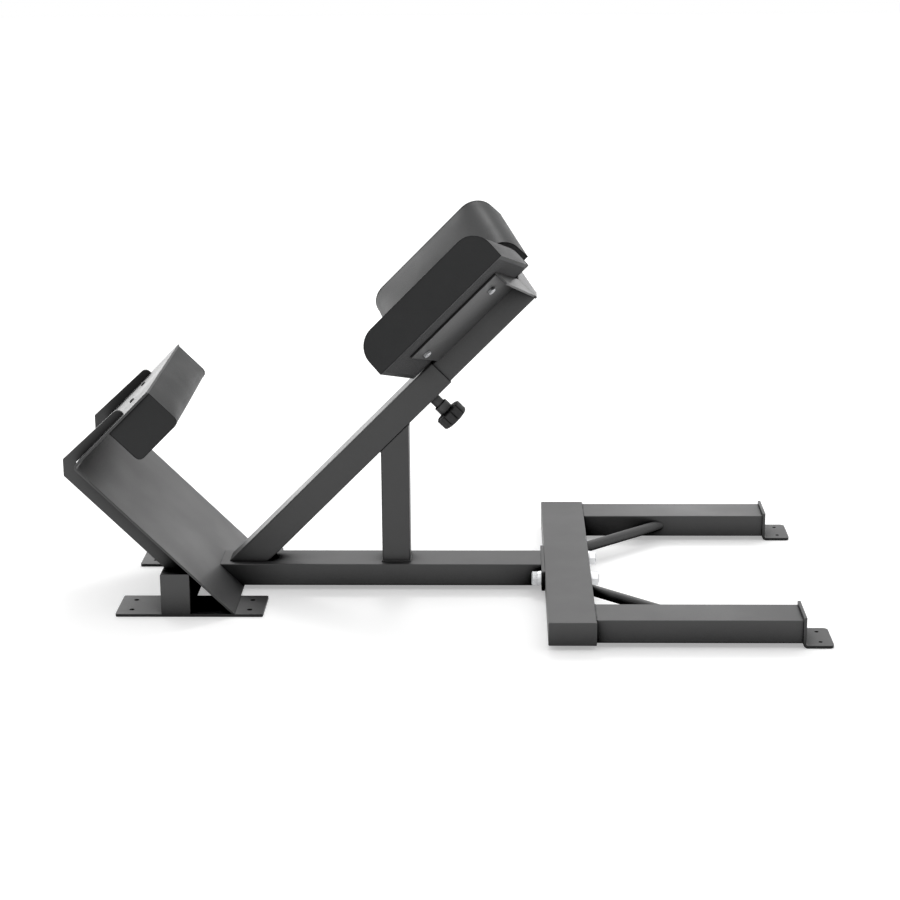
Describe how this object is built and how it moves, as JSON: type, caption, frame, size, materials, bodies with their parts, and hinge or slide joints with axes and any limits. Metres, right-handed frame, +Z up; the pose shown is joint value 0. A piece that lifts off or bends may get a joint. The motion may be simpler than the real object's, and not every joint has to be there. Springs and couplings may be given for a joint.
{
  "type": "hyperextension bench",
  "caption": "Hyperextension bench with an inclined post, telescoping hip pad carriage, spring plunger, folded foot platform, calf pad and bolted crossbeam with legs.",
  "frame": {"origin": "on the floor under the centre of the bounding box, with the carriage at its lowest setting", "axes": "+X along the bench from the foot platform to the split legs, +Y across it away from the picture's camera, +Z up"},
  "size_m": [1.2986, 0.677, 0.6635],
  "materials": {
    "frame_paint": "satin",
    "cushion_vinyl": "matte",
    "plywood": "matte",
    "zinc_steel": "bright",
    "black_steel": "satin",
    "knob_plastic": "matte"
  },
  "bodies": {
    "frame": {"crossbeam_tube": "frame_paint", "near_crossbeam_end_cap": "frame_paint", "far_crossbeam_end_cap": "frame_paint", "near_leg_tube": "frame_paint", "far_leg_tube": "frame_paint", "near_leg_bracket": "frame_paint", "far_leg_bracket": "frame_paint", "near_brace": "frame_paint", "far_brace": "frame_paint", "near_floor_plate": "frame_paint", "far_floor_plate": "frame_paint", "spine_tube": "frame_paint", "spine_flange": "frame_paint", "near_flange_bolt": "zinc_steel", "far_flange_bolt": "zinc_steel", "near_flange_nut": "zinc_steel", "far_flange_nut": "zinc_steel", "near_spring_washer": "zinc_steel", "far_spring_washer": "zinc_steel", "near_head_washer": "zinc_steel", "far_head_washer": "zinc_steel", "near_nut_washer": "zinc_steel", "far_nut_washer": "zinc_steel", "upright_stay": "frame_paint", "rear_cross_tube": "frame_paint", "near_rear_tube_end_cap": "frame_paint", "far_rear_tube_end_cap": "frame_paint", "foot_platform_sheet": "frame_paint", "near_platform_gusset": "frame_paint", "far_platform_gusset": "frame_paint", "calf_pad": "cushion_vinyl", "calf_pad_board": "plywood", "near_calf_pad_screw": "black_steel", "far_calf_pad_screw": "black_steel", "post_tube": "frame_paint", "plunger_housing": "frame_paint", "plunger_housing_cap": "black_steel"},
    "carriage": {"carriage_tube": "frame_paint", "carriage_end_plate": "frame_paint", "near_wing_rib": "frame_paint", "far_wing_rib": "frame_paint", "near_pad_wing": "frame_paint", "far_pad_wing": "frame_paint", "near_hip_pad": "cushion_vinyl", "far_hip_pad": "cushion_vinyl", "near_pad_board": "plywood", "far_pad_board": "plywood", "near_lower_pad_bolt": "zinc_steel", "near_upper_pad_bolt": "zinc_steel", "far_lower_pad_bolt": "zinc_steel", "far_upper_pad_bolt": "zinc_steel"},
    "plunger": {"plunger_pin": "zinc_steel", "plunger_knob": "knob_plastic"}
  },
  "joints": [
    {"name": "carriage_slide", "type": "slide", "parent": "frame", "child": "carriage", "axis": [0.7071, 0, 0.7071], "range_m": [0, 0.15]},
    {"name": "plunger_pull", "type": "slide", "parent": "frame", "child": "plunger", "axis": [0.7071, 0, -0.7071], "range_m": [0, 0.012], "stiffness_N_per_m": 900, "springref_m": -0.008}
  ]
}
